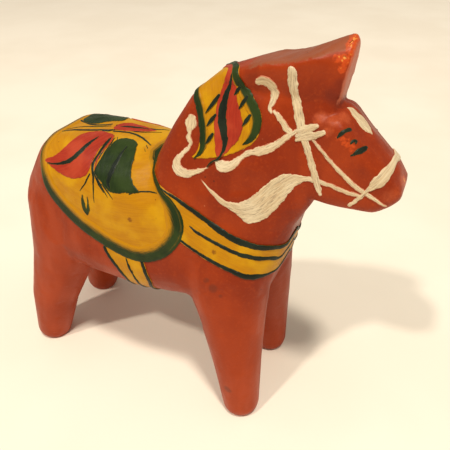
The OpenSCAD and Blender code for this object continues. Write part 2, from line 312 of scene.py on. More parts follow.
def inside_distance(q, outline):
    """How far flat points are inside a closed outline, negative outside."""
    best = np.full(len(q), np.inf)
    inside = np.zeros(len(q), bool)
    for a, b in zip(outline, np.roll(outline, -1, 0)):
        d = b - a
        t = np.clip((q - a) @ d / max(d @ d, 1e-12), 0, 1)
        best = np.minimum(best, ((q - a - t[:, None] * d) ** 2).sum(1))
        if d[1]:
            spans = (a[1] > q[:, 1]) != (b[1] > q[:, 1])
            inside ^= spans & (q[:, 0] < d[0] * (q[:, 1] - a[1]) / d[1] + a[0])
    return np.where(inside, 1, -1) * np.sqrt(best)


BATCH = 20000  # how many points are measured at a time, to keep the tables small


class Path:
    """A smooth line through points [a, b] or [a, b, half width] in a flat drawing."""

    def __init__(self, points):
        self.line = smooth(points, False, 14)
        self.flat = self.line[:, :2]
        gaps = np.linalg.norm(np.diff(self.flat, axis=0), axis=1)
        self.along = np.concatenate([[0], np.cumsum(gaps)])
        self.length = self.along[-1]
        tangent = np.gradient(self.flat, axis=0)
        self.tangent = tangent / np.linalg.norm(tangent, axis=1)[:, None]

    def follow(self, q):
        """Distance along and to the left of the line, and the index of the nearest point on it."""
        near = np.empty(len(q), np.int64)
        for i in range(0, len(q), BATCH):
            part = q[i:i + BATCH]
            near[i:i + BATCH] = ((part[:, None] - self.flat[None]) ** 2).sum(2).argmin(1)
        away = q - self.flat[near]
        tangent = self.tangent[near]
        u = self.along[near] + (away * tangent).sum(1)
        v = away[:, 1] * tangent[:, 0] - away[:, 0] * tangent[:, 1]
        return u, v, near


# A field says, for points on the horse, how far inside a shape each is, how far from the edge that its
# colour follows, and where it lies along and across the brush stroke, with a number for the stroke.

FAR_OUT = -9.0
OFF_DRAWING = 999  # where a flat drawing puts what it doesn't show


def side_view(p):
    """Flat drawing [x, z] on both sides, the left one a little different, as by hand."""
    x, z = p[:, 0] - CAD_SHIFT, p[:, 2]
    left = step(p[:, 1], 0, 3)
    return np.stack([x + 0.3 * left * np.sin(0.21 * z + 1), z + 0.25 * left * np.sin(0.17 * x)], 1)


BACK_Z, BROW_Z, ROSETTE_X = 71.7, 86, -19
PAST_RIDGE = 4  # how far over the ridge each side's drawing of the back runs
TOP_LOW, TOP_HIGH = 66, 88.5  # the heights that the drawing from above shows


def right_view(p):
    """Flat drawing of the back [x, down the 45 degree slope from the ridge], from the right side."""
    q = np.stack([p[:, 0] - CAD_SHIFT, (BACK_Z - p[:, 1] - p[:, 2]) / math.sqrt(2)], 1)
    return np.where((p[:, 1] < PAST_RIDGE)[:, None], q, OFF_DRAWING)


def left_view(p):
    """The same from the left side, turned half round about the rosette."""
    q = np.stack([2 * ROSETTE_X - p[:, 0] + CAD_SHIFT, (BACK_Z + p[:, 1] - p[:, 2]) / math.sqrt(2)], 1)
    return np.where((p[:, 1] > -PAST_RIDGE)[:, None], q, OFF_DRAWING)


def brow_view(p):
    """Flat drawing of the brow [x, down the 45 degree slope], a little further down on the left side."""
    down = (abs(p[:, 1]) + BROW_Z - p[:, 2]) / math.sqrt(2)
    return np.stack([p[:, 0] - CAD_SHIFT, down - 1.7 * step(p[:, 1], 0, 2)], 1)


def mane_view(p):
    """The side drawing, running back over the rear edge of the crest on the left side."""
    q = side_view(p)
    q[:, 0] += 4.2 * step(p[:, 1], -4.5, 3.5) * step(p[:, 2], 86, 91)
    return q


def strap_view(p):
    """The side drawing, with the front of the left side pulled forwards and down."""
    q = side_view(p)
    pull = step(p[:, 1], 0.5, 5) * step(q[:, 0], 10, 24)
    return q + pull[:, None] * (5, 2.6)


def top_view(p):
    """Flat drawing [x, y] seen from above."""
    shown = (p[:, 2] > TOP_LOW) & (p[:, 2] < TOP_HIGH)
    return np.where(shown[:, None], np.stack([p[:, 0] - CAD_SHIFT, p[:, 1]], 1), OFF_DRAWING)


def flat_field(view, low, high, seed, measure):
    """A field in a flat drawing, between two corners of it.

    measure(q) says how far flat points are along and across the stroke, and how far inside.
    """
    def field(p):
        q = view(p)
        near = ((q > low) & (q < high)).all(1)
        f = np.full(len(p), FAR_OUT)
        flow = np.zeros((len(p), 3))
        if near.any():
            u, v, f[near] = measure(q[near])
            flow[near] = np.stack([u, v, np.full(len(u), seed)], 1)
        return f, f, flow

    return field


MARGIN = 3


def area(outline, view=side_view, guide=None, ragged=0.06, seed=1, dry=0.0):
    """A filled outline. guide is the line its brush marks run along."""
    path = Path(guide) if guide is not None else None

    def measure(q):
        u, v = path.follow(q)[:2] if path else q.T
        lift = wobble(2.3 * q[:, 0] + 1.7 * q[:, 1], seed) + 0.5 * wobble(7 * v + u, seed + 1)
        streaks = (0.5 + wobble(9 * v, seed + 2, 2)).clip(0)
        return u, v, inside_distance(q, outline) + ragged * lift - dry * streaks

    return flat_field(view, outline.min(0) - MARGIN, outline.max(0) + MARGIN, seed, measure)


def brushed(points, view=side_view, ragged=0.07, seed=1):
    """One brush stroke along points [a, b, half width]."""
    path = Path(points)
    reach = path.line[:, 2].max() + MARGIN

    def measure(q):
        u, v, index = path.follow(q)
        past = np.maximum(np.maximum(-u, u - path.length), 0)
        width = path.line[index, 2] * (1 + ragged * wobble(1.9 * u, seed + 2))
        width = width + ragged * np.where(v > 0, wobble(3.1 * u, seed + 3), wobble(2.7 * u, seed + 4))
        return u, v, width - np.hypot(v, past)

    return flat_field(view, path.flat.min(0) - reach, path.flat.max(0) + reach, seed, measure)


def strokes(lines, view=side_view, ragged=0.07, seed=1):
    """Several brush strokes, numbered on from the first."""
    return union(*[brushed(line, view, ragged, seed + i) for i, line in enumerate(lines)])


def union(*fields):
    """Each point belongs to the field that it is furthest inside."""
    def field(p):
        f, edge, flow = fields[0](p)
        for other in fields[1:]:
            g, other_edge, other_flow = other(p)
            wins = g > f
            f = np.where(wins, g, f)
            edge = np.where(wins, other_edge, edge)
            flow = np.where(wins[:, None], other_flow, flow)
        return f, edge, flow

    return field


def within(field, limit):
    """The part of a field that lies inside another one."""
    def inner(p):
        f, edge, flow = field(p)
        return np.minimum(f, limit(p)[0]), edge, flow

    return inner


def without(field, hole, overlap):
    """What is left of a field when another is cut out, but for a rim of overlap."""
    def left(p):
        f, edge, flow = field(p)
        return np.minimum(f, overlap - hole(p)[0]), edge, flow

    return left


# ---- thin films of paint


def edge_table(tris, count):
    """The edges of some triangles, and for each triangle the numbers of its edges 01, 12 and 20."""
    corners = np.vstack([tris[:, [0, 1]], tris[:, [1, 2]], tris[:, [2, 0]]])
    corners.sort(axis=1)
    keys, which = np.unique(corners[:, 0] * count + corners[:, 1], return_inverse=True)
    return np.stack([keys // count, keys % count], 1), which.reshape(3, -1).T


def cut_up(tris, mids, pick, r, *patterns):
    """Smaller triangles from the picked ones, turned r places.

    In a pattern 0 to 2 are the corners and 3 to 5 the points on the edges 01, 12 and 20.
    """
    turn = [r, (r + 1) % 3, (r + 2) % 3]
    both = np.hstack([tris[pick][:, turn], mids[pick][:, turn]])
    return [both[:, list(pattern)] for pattern in patterns]


def refine(data, tris, chosen, edges, which):
    """Splits the chosen edges at their middles, and the triangles beside them to match."""
    number = np.full(len(edges), -1)
    number[chosen] = len(data) + np.arange(chosen.sum())
    a, b = edges[chosen].T
    data = np.vstack([data, (data[a] + data[b]) / 2])
    mids = number[which]
    cut = mids >= 0
    count = cut.sum(1)
    done = [tris[count == 0]] + cut_up(tris, mids, count == 3, 0, (0, 3, 5), (1, 4, 3), (2, 5, 4), (3, 4, 5))
    for r in range(3):
        done += cut_up(tris, mids, (count == 1) & cut[:, r], r, (0, 3, 2), (3, 1, 2))
        done += cut_up(tris, mids, (count == 2) & ~cut[:, r], r, (0, 1, 4), (0, 4, 5), (5, 4, 2))
    return data, np.vstack(done)


NEAR_CORNER = 0.06  # share of an edge; no cut comes closer to its ends, so no sliver is left


def trim(data, tris, f):
    """Keeps the part of a mesh where f is above 0, cut along the line where it is 0."""
    inside = f > 0
    edges, which = edge_table(tris, len(data))
    crossed = inside[edges[:, 0]] != inside[edges[:, 1]]
    number = np.full(len(edges), -1)
    number[crossed] = len(data) + np.arange(crossed.sum())
    a, b = edges[crossed].T
    t = np.clip(f[a] / (f[a] - f[b]), NEAR_CORNER, 1 - NEAR_CORNER)[:, None]
    data = np.vstack([data, data[a] * (1 - t) + data[b] * t])
    mids = number[which]
    count = inside[tris].sum(1)
    done = [tris[count == 3]]
    for r in range(3):
        done += cut_up(tris, mids, (count == 1) & inside[tris[:, r]], r, (0, 3, 5))
        done += cut_up(tris, mids, (count == 2) & ~inside[tris[:, r]], r, (3, 1, 2), (3, 2, 5))
    return tidy_up(data, np.vstack(done))


def tidy_up(data, tris):
    """Drops the points that no triangle uses."""
    used, tris = np.unique(tris, return_inverse=True)
    return data[used], tris.reshape(-1, 3)


def film_mesh(surface, field, fine, extra=None):
    """The part of the surface inside the field, in triangles of about `fine` along its edge.

    Its rows are [place, normal, how far inside, extra...]. What is far outside is dropped, and then the
    edges near the line are split again and again.
    """
    columns = [surface.verts, surface.normal, field(surface.verts)[0][:, None]]
    data = np.hstack(columns + ([extra[:, None]] if extra is not None else []))
    tris = surface.tris
    for _ in range(5):
        data, tris = tidy_up(data, tris[data[tris, 6].max(1) > -1.5 * VOXEL])
        edges, which = edge_table(tris, len(data))
        a, b = edges.T
        length = np.linalg.norm(data[a, :3] - data[b, :3], axis=1)
        closest = np.minimum(abs(data[a, 6]), abs(data[b, 6]))
        chosen = (length > 1.4 * fine) & (closest < 0.25 + length)
        if not chosen.any():
            break
        count = len(data)
        data, tris = refine(data, tris, chosen, edges, which)
        data[count:, 6] = field(data[count:, :3])[0]
    return trim(data, tris, data[:, 6])


SHARP = 55  # degrees: a sharper edge than this isn't shaded smooth


def new_object(name, verts, tris, attributes=None):
    mesh = bpy.data.meshes.new(name)
    mesh.vertices.add(len(verts))
    mesh.vertices.foreach_set("co", (np.asarray(verts) * MM).astype(np.float32).ravel())
    mesh.loops.add(3 * len(tris))
    mesh.loops.foreach_set("vertex_index", np.asarray(tris, np.int32).ravel())
    mesh.polygons.add(len(tris))
    mesh.polygons.foreach_set("loop_start", np.arange(0, 3 * len(tris), 3, np.int32))
    mesh.update(calc_edges=True)
    for key, values in (attributes or {}).items():
        kind, item = ("FLOAT", "value") if values.ndim == 1 else ("FLOAT_VECTOR", "vector")
        attribute = mesh.attributes.new(key, kind, "POINT")
        attribute.data.foreach_set(item, values.astype(np.float32).ravel())
    mesh.shade_smooth()
    mesh.set_sharp_from_angle(angle=math.radians(SHARP))
    obj = bpy.data.objects.new(name, mesh)
    bpy.context.scene.collection.objects.link(obj)
    return obj


def closed_film(name, data, tris, top, bottom, attributes):
    """A thin closed solid between two heights above a patch of surface."""
    count = len(data)
    verts, normals = data[:, :3], data[:, 3:6] / np.linalg.norm(data[:, 3:6], axis=1)[:, None]
    places = np.vstack([verts + normals * top[:, None], verts + normals * bottom])
    places[:, 2] = places[:, 2].clip(OFF_TABLE)
    heads = np.concatenate([tris[:, 0], tris[:, 1], tris[:, 2]])
    tails = np.concatenate([tris[:, 1], tris[:, 2], tris[:, 0]])
    open_edge = ~np.isin(heads * count + tails, tails * count + heads)
    a, b = heads[open_edge], tails[open_edge]
    walls = [np.stack([b, a, a + count], 1), np.stack([b, a + count, b + count], 1)]
    faces = np.vstack([tris, tris[:, ::-1] + count] + walls)
    both = {key: np.concatenate([values, values]) for key, values in attributes.items()}
    return new_object(name, places, faces, both)


OFF_TABLE = 0.01  # no film comes closer to the table than this
SUNK = 0.03  # how far a film's underside is pressed into the layer below
RIM_HEIGHT = 0.03


def blobs(p, spots):
    """1 at the middle of each soft spot [x, y, z, radius], 0 away from them."""
    total = np.zeros(len(p))
    for x, y, z, r in spots:
        total = np.maximum(total, 1 - step(np.linalg.norm(p - (x, y, z), axis=1), 0.2 * r, r))
    return total


# Brown spots on the yellow paint: [x, y, z, radius]
PAINT_STAINS = [
    (-5.1, -16, 58.4, 1.3), (1.9, -15.4, 60.3, 0.8), (1.1, -15.6, 59.3, 0.5), (2.9, -15.2, 61.2, 0.45),
    (15.9, -14.6, 54.9, 1.2), (10.1, -12.5, 65, 0.5),
]


RIM_COVER = 0.3


def full_cover(f, edge, flow):
    """How well the paint covers: thin along its rim."""
    return RIM_COVER + 0.75 * step(f, -0.02, 0.16)


def thin_cover(f, edge, flow):
    """Cream paint shows the red below wherever the stroke is narrow."""
    return RIM_COVER + 0.7 * step(f, -0.02, 0.42)


def paint(name, node, slot, field, low, thickness=0.2, fine=0.15, rim=0.22, bristle=0.035, lanes=6.0,
          cover=full_cover):
    """A film of paint that stands for a CAD node.

    low is the height it lies at above the wood, fine the size of its triangles, rim how far its edge
    slopes, bristle the depth and lanes the number of its brush ridges.
    """
    data, tris = film_mesh(wood, field, fine)
    f, edge, flow = field(data[:, :3])
    full = step(f, -0.05, rim)
    ridges = wobble(lanes * flow[:, 1] + 0.25 * wobble(0.6 * flow[:, 0], 7), 11, 2)
    swell = 1 + 0.15 * wobble(0.9 * flow[:, 0] + flow[:, 2], 12, 2)
    top = low + RIM_HEIGHT + (thickness - RIM_HEIGHT) * full * swell + bristle * full * ridges
    attributes = {"_cover": cover(f, edge, flow), "_flow": flow, "_stain": blobs(data[:, :3], PAINT_STAINS)}
    piece = closed_film(name, data, tris, top, low - SUNK, attributes)
    finish_piece(piece, slot, node)


def finish_piece(piece, slot, *nodes):
    """Hands a piece over as riding on the horse's only body."""
    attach(piece, "root")
    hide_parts(*nodes)
    piece.data.materials.append(MATERIALS[slot])


# ---- materials


def srgb(*rgb):
    """A screen colour, 0 to 255, as the renderer wants it."""
    shares = [c / 255 for c in rgb]
    return tuple(c / 12.92 if c <= 0.04 else ((c + 0.055) / 1.055) ** 2.4 for c in shares) + (1.0,)


SHINE = 0.17  # how strongly every paint reflects, 0 to 1


class Graph:
    """A material's nodes, joined up as the sums are written."""

    def __init__(self, name):
        self.material = bpy.data.materials.new(name)
        self.material.use_nodes = True
        self.tree = self.material.node_tree
        self.shader = self.tree.nodes["Principled BSDF"]
        coordinates = self.tree.nodes.new("ShaderNodeTexCoord")
        self.place = self.vector("SCALE", coordinates.outputs["Object"], scale=1000.0)

    def feed(self, socket, value):
        if isinstance(value, bpy.types.NodeSocket):
            self.tree.links.new(value, socket)
        elif value is not None:
            socket.default_value = value

    def vector(self, operation, a, b=None, scale=None):
        node = self.tree.nodes.new("ShaderNodeVectorMath")
        node.operation = operation
        self.feed(node.inputs[0], a)
        self.feed(node.inputs[1], b)
        if scale is not None:
            node.inputs["Scale"].default_value = scale
        return node.outputs[0]

    def math(self, operation, a, b):
        node = self.tree.nodes.new("ShaderNodeMath")
        node.operation = operation
        self.feed(node.inputs[0], a)
        self.feed(node.inputs[1], b)
        return node.outputs[0]

    def spread(self, value, low, high, start=0.0, end=1.0):
        """Maps low..high smoothly onto start..end, and stays there outside."""
        node = self.tree.nodes.new("ShaderNodeMapRange")
        node.interpolation_type = "SMOOTHSTEP"
        for name, number in (("From Min", low), ("From Max", high), ("To Min", start), ("To Max", end)):
            node.inputs[name].default_value = number
        self.feed(node.inputs["Value"], value)
        return node.outputs["Result"]

    def parts(self, vector):
        node = self.tree.nodes.new("ShaderNodeSeparateXYZ")
        self.feed(node.inputs[0], vector)
        return node.outputs

    def mix(self, factor, a, b):
        node = self.tree.nodes.new("ShaderNodeMix")
        node.data_type = "RGBA"
        self.feed(node.inputs[0], factor)
        self.feed(node.inputs[6], a)
        self.feed(node.inputs[7], b)
        return node.outputs[2]

    def noise(self, vector, scale, detail, stretch=None):
        if stretch:
            vector = self.vector("MULTIPLY", vector, stretch)
        node = self.tree.nodes.new("ShaderNodeTexNoise")
        node.inputs["Scale"].default_value = scale
        node.inputs["Detail"].default_value = detail
        self.feed(node.inputs["Vector"], vector)
        return node.outputs["Fac"]

    def torn(self, name, grain, amount):
        """A painted-on attribute with its edges broken up by the grain."""
        painted = self.attribute(name)
        return self.math("ADD", painted, self.math("MULTIPLY", self.math("SUBTRACT", grain, 0.5), amount))

    def tint(self, colour, value, low, high, most, rgb):
        """Mixes in a colour, up to a share of `most`, as the value goes from low to high."""
        return self.mix(self.spread(value, low, high, 0.0, most), colour, srgb(*rgb))

    def specks(self, scale, size, share):
        """Small scattered dots: 1 in a dot, 0 elsewhere."""
        node = self.tree.nodes.new("ShaderNodeTexVoronoi")
        node.inputs["Scale"].default_value = scale
        self.feed(node.inputs["Vector"], self.vector("ADD", self.place, (3.7, 1.9, 8.3)))
        parts = self.tree.nodes.new("ShaderNodeSeparateColor")
        self.feed(parts.inputs[0], node.outputs["Color"])
        chosen = self.math("LESS_THAN", parts.outputs[0], share)
        radius = self.math("MULTIPLY", parts.outputs[1], size)
        edge = self.math("SUBTRACT", radius, node.outputs["Distance"])
        return self.math("MULTIPLY", self.spread(edge, -0.01, 0.05), chosen)

    def attribute(self, name, vector=False):
        node = self.tree.nodes.new("ShaderNodeAttribute")
        node.attribute_name = name
        return node.outputs["Vector" if vector else "Fac"]

    def finish(self, colour, roughness, height, depth):
        """depth is the relief's depth in millimetres."""
        bump = self.tree.nodes.new("ShaderNodeBump")
        bump.inputs["Distance"].default_value = depth * MM
        self.feed(bump.inputs["Height"], height)
        self.feed(self.shader.inputs["Base Color"], colour)
        self.feed(self.shader.inputs["Roughness"], roughness)
        self.feed(self.shader.inputs["Normal"], bump.outputs[0])
        self.shader.inputs["Specular IOR Level"].default_value = SHINE
        return self.material


def brushed_paint(name, deep, body, light, under, speck, gloss=0.36, streaks=0.6, grey=0.0, dots=0.3,
                  soft=(0.3, 0.62)):
    """Paint laid on with a brush: streaks along the stroke, and the colour below where it is thin."""
    g = Graph(name)
    flow = g.attribute("_flow", vector=True)
    streak = g.noise(flow, 1.0, 3.0, (0.22, 3.6, 2.7))
    hair = g.noise(flow, 1.0, 2.0, (0.7, 11.0, 4.1))
    cloud = g.noise(g.place, 0.16, 3.0)
    grain = g.noise(g.place, 2.4, 3.0)
    colour = g.mix(g.spread(streak, 0.62, 0.38, 0.0, streaks), srgb(*body), srgb(*deep))
    colour = g.tint(colour, cloud, 0.42, 0.68, 0.75, light)
    if grey:
        colour = g.tint(colour, hair, 0.47, 0.33, grey, (126, 106, 88))
    cover = g.torn("_cover", hair, 0.9)
    colour = g.mix(g.spread(cover, *soft), srgb(*under), colour)
    colour = g.mix(g.specks(0.42, 0.09, dots), colour, srgb(*speck))
    stain = g.torn("_stain", grain, 0.9)
    colour = g.tint(colour, stain, 0.4, 0.9, 0.8, speck)
    height = g.math("ADD", g.math("MULTIPLY", hair, 0.7), g.math("MULTIPLY", grain, 0.5))
    roughness = g.spread(grain, 0.25, 0.75, gloss, gloss + 0.16)
    return g.finish(colour, roughness, height, 0.05)


# painted light: the legs get a lighter red, standing in for the stronger light that falls on them
LEGS_PAINTED_LIGHT = 48, 30  # the heights where the lighter red of the legs begins and is full


def red_paint():
    g = Graph("red_paint")
    cloud = g.noise(g.place, 0.055, 4.0)
    drag = g.noise(g.place, 0.5, 3.0, (0.5, 0.5, 0.16))
    grain = g.noise(g.place, 1.6, 4.0)
    fine = g.noise(g.place, 6.0, 2.0)
    colour = g.mix(g.spread(cloud, 0.38, 0.62), srgb(132, 40, 6), srgb(156, 54, 11))
    colour = g.tint(colour, drag, 0.42, 0.7, 0.5, (122, 36, 7))
    colour = g.tint(colour, grain, 0.5, 0.75, 0.28, (172, 68, 20))
    # painted light: lighter red down the legs
    colour = g.tint(colour, g.parts(g.place)["Z"], *LEGS_PAINTED_LIGHT, 0.4, (178, 67, 17))
    # lighter on the worn ridges, with painted light on the brow's facet and a paler muzzle
    worn_and_lit = g.torn("_wear_and_light", grain, 0.5)
    colour = g.tint(colour, worn_and_lit, 0.15, 0.95, 0.75, (190, 88, 48))
    # painted shade: the red is darkened in the hollows and at the ear's base, where shade falls
    hollow = g.attribute("_painted_shade")
    colour = g.tint(colour, hollow, 0.15, 0.9, 0.6, (104, 30, 15))
    # painted sheen: the upward faces of the crest and ear turn brownish, partly for light reflected from
    # above, partly from rubbing
    crest_sheen = g.torn("_crest_sheen_rubbed", grain, 1.3)
    colour = g.tint(colour, crest_sheen, 0.3, 1.0, 0.75, (140, 82, 54))
    # painted light: the forward-facing faces high up on the head and ear are paler, for the light falling on
    # them
    pale = g.torn("_front_light", grain, 0.5)
    colour = g.tint(colour, pale, 0.2, 0.9, 0.7, (204, 112, 80))
    mark = g.torn("_mark", grain, 1.6)
    colour = g.tint(colour, mark, 0.3, 0.8, 0.75, (198, 74, 22))
    colour = g.tint(colour, mark, 0.88, 1.04, 0.8, (216, 142, 58))
    stain = g.torn("_stain", grain, 0.9)
    colour = g.tint(colour, stain, 0.3, 1.0, 0.6, (100, 42, 24))
    colour = g.mix(g.specks(0.34, 0.085, 0.45), colour, srgb(84, 28, 15))
    colour = g.mix(g.specks(0.19, 0.035, 0.3), colour, srgb(215, 130, 90))
    dents = g.specks(0.23, 0.3, 0.4)
    height = g.math("ADD", g.math("MULTIPLY", grain, 0.8), g.math("MULTIPLY", fine, 0.25))
    height = g.math("SUBTRACT", height, g.math("MULTIPLY", dents, 0.6))
    roughness = g.spread(drag, 0.3, 0.7, 0.34, 0.5)
    return g.finish(colour, roughness, height, 0.06)


def primer_paint():
    g = Graph("primer")
    grain = g.noise(g.place, 1.8, 4.0)
    colour = g.mix(g.spread(grain, 0.35, 0.65), srgb(226, 130, 48), srgb(242, 186, 104))
    return g.finish(colour, g.spread(grain, 0.3, 0.7, 0.55, 0.75), grain, 0.04)


def pine():
    g = Graph("pine")
    wave = g.tree.nodes.new("ShaderNodeTexWave")
    wave.wave_type = "BANDS"
    wave.bands_direction = "Y"
    wave.inputs["Scale"].default_value = 0.16
    wave.inputs["Distortion"].default_value = 2.5
    wave.inputs["Detail Scale"].default_value = 0.6
    g.feed(wave.inputs["Vector"], g.vector("MULTIPLY", g.place, (0.25, 1.0, 1.0)))
    fibre = g.noise(g.place, 1.0, 3.0, (0.3, 6.0, 6.0))
    colour = g.mix(wave.outputs["Fac"], srgb(214, 172, 112), srgb(182, 128, 70))
    colour = g.tint(colour, fibre, 0.4, 0.7, 0.5, (150, 104, 58))
    return g.finish(colour, g.spread(fibre, 0.3, 0.7, 0.6, 0.8), fibre, 0.06)


MATERIALS = {
    "pine": pine(),
    "primer": primer_paint(),
    "red_paint": red_paint(),
}
# The colours of each brushed paint: deep, body, light, the one below and the specks
BRUSHED = {
    "yellow_paint": ((160, 98, 0), (184, 124, 0), (202, 150, 4), (150, 70, 8), (120, 66, 8)),
    "green_paint": ((20, 34, 10), (32, 48, 14), (46, 62, 20), (182, 124, 0), (84, 88, 34)),
    "crimson_paint": ((140, 34, 18), (162, 48, 26), (178, 66, 38), (176, 100, 8), (110, 24, 18)),
    "dark_paint": ((14, 20, 14), (24, 32, 22), (34, 44, 30), (70, 78, 26), (60, 60, 40)),
    "cream_paint": ((196, 168, 130), (214, 194, 156), (220, 202, 168), (186, 104, 74), (120, 96, 70)),
}
SETTINGS = {
    "yellow_paint": {"streaks": 0.3, "dots": 0.25},
    "green_paint": {"soft": (0.1, 0.85)},
    "dark_paint": {"gloss": 0.3},
    "cream_paint": {"streaks": 0.8, "grey": 0.7, "dots": 0.25},
}
for name, colours in BRUSHED.items():
    MATERIALS[name] = brushed_paint(name, *colours, **SETTINGS.get(name, {}))

# ---- wood, primer and red coat

COAT_EDGE = 0.3  # the coats stop this far above the table
ON_PRIMER, ON_COAT, ON_GROUND, ON_LEAF = 0.15, 0.35, 0.55, 0.75  # the tops of the layers, above the wood
CHIPS = [  # [x, y, z, radius], right through the coat
    (35.1, -4.3, 96.9, 0.3), (36.7, -3.6, 97.2, 0.34), (37.1, -1.6, 99.4, 0.34), (36.3, -4.3, 95.3, 0.24),
]


def above_table(p):
    """The primer: everything but the soles."""
    f = p[:, 2] - COAT_EDGE
    return f, f, np.zeros((len(p), 3))


def unchipped(p):
    """The red coat: everything but the soles and the chips."""
    f = p[:, 2] - COAT_EDGE
    ragged = 0.16 * wobble(5.1 * p[:, 2] + 4.3 * p[:, 1] + 3.7 * p[:, 0], 21)
    for x, y, z, r in CHIPS:
        away = (p - (x, y, z)) / (1, 1, 1.6)
        f = np.minimum(f, np.linalg.norm(away, axis=1) - r + ragged)
    return f, f, np.zeros((len(p), 3))


def convexity(surface, passes):
    """Positive on ridges, negative in hollows, from how far each point stands off its neighbours."""
    smoothed = surface.verts.copy()
    for _ in range(passes):
        smoothed = surface.neighbour_mean(smoothed)
    return ((surface.verts - smoothed) * surface.normal).sum(1)


def simpler(surface, share):
    """The surface with only a share of its triangles."""
    mesh = bpy.data.meshes.new("simpler")
    mesh.from_pydata(surface.verts.tolist(), [], surface.tris.tolist())
    fewer = Surface(*mesh_arrays(with_modifier(mesh, "DECIMATE", ratio=share)))
    fewer.verts[:, 2] = fewer.verts[:, 2].clip(0)
    fewer.ready()
    return fewer


inner = simpler(wood, 0.15)
core = new_object("pine_core", inner.verts, inner.tris)
finish_piece(core, "pine", "wood_core")

data, tris = film_mesh(inner, above_table, 0.6)
coat = closed_film("primer_coat", data, tris, np.full(len(data), ON_PRIMER), 0.0, {})
finish_piece(coat, "primer", "primer")

data, tris = film_mesh(wood, unchipped, 0.16, convexity(wood, passes_here(26)))
ridge = data[:, 7]
EAR_WEAR = [
    (37.3, -2.6, 98.9, 1.6), (37.4, -1.6, 99.6, 1.8), (35.6, -4.1, 97, 1.6), (36.8, -3.7, 97.1, 1.7),
    (37.5, -3.1, 97.9, 1.5), (37.3, -2.2, 98.8, 1.7), (37.7, -0.9, 99.8, 2.0), (36.6, -4.3, 95.4, 1.5),
    (37.4, -3.8, 96.5, 1.2), (37, 0.5, 99, 1.6), (36.5, 3.4, 97.4, 1.6), (50.3, 0, 74, 2.0),
]
STAINS = [
    (14.8, -16.7, 47.6, 1.5), (16.4, -16.6, 45.7, 2.2), (18.2, -16.4, 43.8, 1.2), (12.5, -15.9, 43.6, 1.4),
    (14.2, -17, 28, 1.2), (20.5, -17.8, 12, 2.2), (-41, -17, 22, 1.6),
]
# painted shade at the ear's base: [x, y, z, radius]
EAR_PAINTED_SHADE = [(35.6, -4.4, 90.4, 3), (36.6, -4.3, 92.6, 2.2)]
# painted light on the brow's facet, and a paler muzzle: [x, y, z, radius]
BROW_LIGHT_AND_PALE_MUZZLE = [  # the brow and the muzzle
    (34.2, -5.6, 86.2, 2.8), (36.6, -5.4, 86, 2.6), (38.2, -4, 86.4, 2.4), (36, -6.6, 84.4, 2),
    (48.6, -4.4, 73.2, 3.4), (50.3, -1.5, 74.4, 2.6),
]
eye_patch = brushed([[38.9, 6.3, 0.5], [39.9, 6.6, 0.6], [41.3, 7.4, 0.5]], brow_view)
glow = step(eye_patch(data[:, :3])[0], -0.7, 0.3)
high_up = step(data[:, 2], 87.5, 90)
attributes = {
    # worn ridges, and painted light on the brow
    "_wear_and_light": np.maximum(step(ridge, 0.55, 1.1), 0.62 * blobs(data[:, :3], BROW_LIGHT_AND_PALE_MUZZLE)),
    # painted shade in the hollows
    "_painted_shade": np.maximum(step(-ridge, 0.1, 0.6), 0.7 * blobs(data[:, :3], EAR_PAINTED_SHADE)),
    # painted sheen and rubbing on the upward faces of the crest and ear
    "_crest_sheen_rubbed": high_up * step(data[:, 5], 0.5, 0.75) * step(data[:, 0], 16, 21),
    # painted light on the forward-facing faces high up
    "_front_light": high_up * step(data[:, 3], 0.6, 0.85),
    "_mark": np.maximum(0.9 * blobs(data[:, :3], EAR_WEAR), 0.62 * glow),
    "_stain": blobs(data[:, :3], STAINS),
}
coat = closed_film("red_coat_dip", data, tris, np.full(len(data), ON_COAT), ON_PRIMER, attributes)
finish_piece(coat, "red_paint", "red_coat")

# ---- the saddle

saddle_outline = smooth([
    [-32, 82], [-32.4, 74], [-33.2, 70.5], [-33.4, 68], [-32.3, 65.6], [-31.3, 63.1], [-30.8, 60.6],
    [-29.3, 58.2], [-26.6, 55.9], [-20, 52], [-12.4, 49.1], [-5.5, 47.6], [-0.3, 48.2], [4.7, 51.1],
    [8, 55.3], [9, 59], [8, 62.3], [6, 64.9], [3.7, 66.6], [1.9, 68.2], [-0.6, 69.9], [-3.2, 71.5],
    [-5, 74], [-7, 84],
])
saddle = area(saddle_outline, seed=31, ragged=0.05)
saddle_grain = area(saddle_outline, guide=[[-38, 66], [-22, 58], [-8, 55], [10, 58]], seed=31, ragged=0.05)
paint("saddle_ground_paint", "saddle_ground", "yellow_paint", saddle_grain, ON_COAT, bristle=0.01)
BORDER = 4.2
BORDER_SEED = 33  # also the number of its brush stroke, with how thin the paint is added to it


def border_field(p):
    """A band along the saddle's outline, just over its edge, and narrower towards the horse's back."""
    f, edge, flow = saddle(p)
    q = side_view(p)
    f = f + 0.1
    rear = step(q[:, 1], 58, 66) * step(q[:, 0], -24, -30)
    front = step(q[:, 1], 60, 66) * step(q[:, 0], -14, -8)
    share = 1 - 0.3 * step(q[:, 1], 59, 67) - 0.3 * front - 0.1 * rear
    inner_edge = share * (BORDER + 0.25 * wobble(0.35 * q[:, 0] + 0.2 * q[:, 1], BORDER_SEED)) - f
    flow = np.stack([q[:, 0] + q[:, 1], f, BORDER_SEED + rear], 1)
    return np.minimum(f, inner_edge), f / share, flow


def border_cover(f, edge, flow):
    """Full colour at the outline, fading inwards, thin at the rear, with a fine gap along the front."""
    front = step(flow[:, 0], 56, 62)
    gap = step(edge, 0.35, 0.55) * (1 - step(edge, 0.75, 0.95))
    rear = flow[:, 2] - BORDER_SEED
    return (1.05 - 1.05 * step(edge, 1.3, 4.3)) * (1 - 0.35 * front * gap) * (1 - 0.4 * rear)


